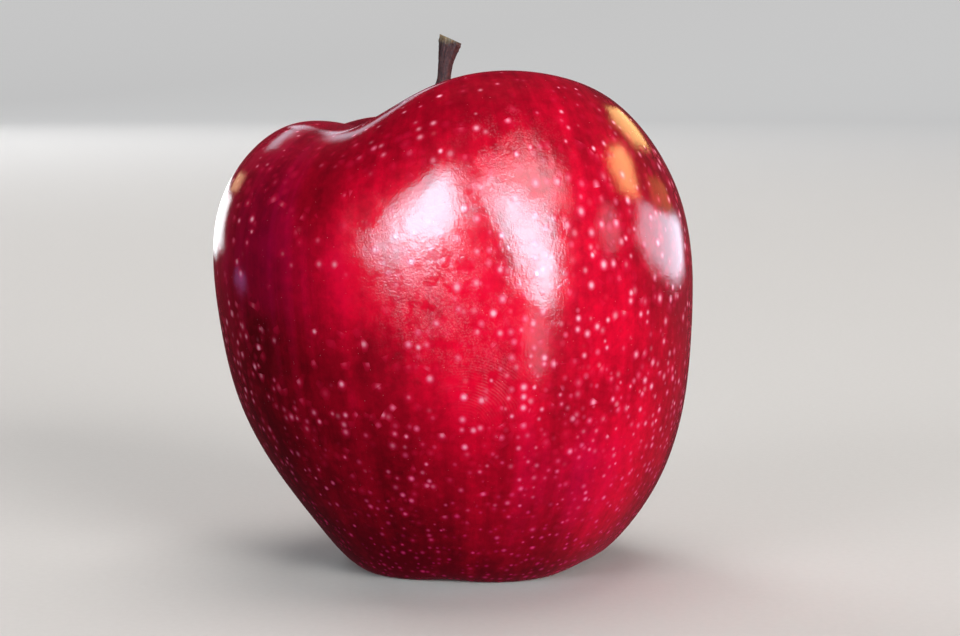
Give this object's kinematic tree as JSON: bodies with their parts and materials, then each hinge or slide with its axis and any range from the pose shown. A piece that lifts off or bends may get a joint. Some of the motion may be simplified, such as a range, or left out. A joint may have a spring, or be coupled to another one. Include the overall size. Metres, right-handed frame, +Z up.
{
  "type": "apple",
  "caption": "Whole red apple with a conical, lobed body, a bowed stem in its top cavity and a dried calyx underneath, standing on its base.",
  "frame": {"origin": "under the middle of the fruit, on the surface that it stands on", "axes": "+Z up along the core towards the stem; -Y is the front, the highest side of the crown"},
  "size_m": [0.0814, 0.0786, 0.0898],
  "materials": {
    "skin": "glossy, waxy crimson skin with pale pores",
    "stem": "matt brown bark, tan at the cut tip",
    "calyx": "matt, dry and hairy"
  },
  "bodies": {
    "root": {"apple_body": "skin", "stem": "stem", "sepal_1": "calyx", "sepal_2": "calyx", "sepal_3": "calyx", "sepal_4": "calyx", "sepal_5": "calyx", "stamen_tuft": "calyx"}
  },
  "joints": []
}
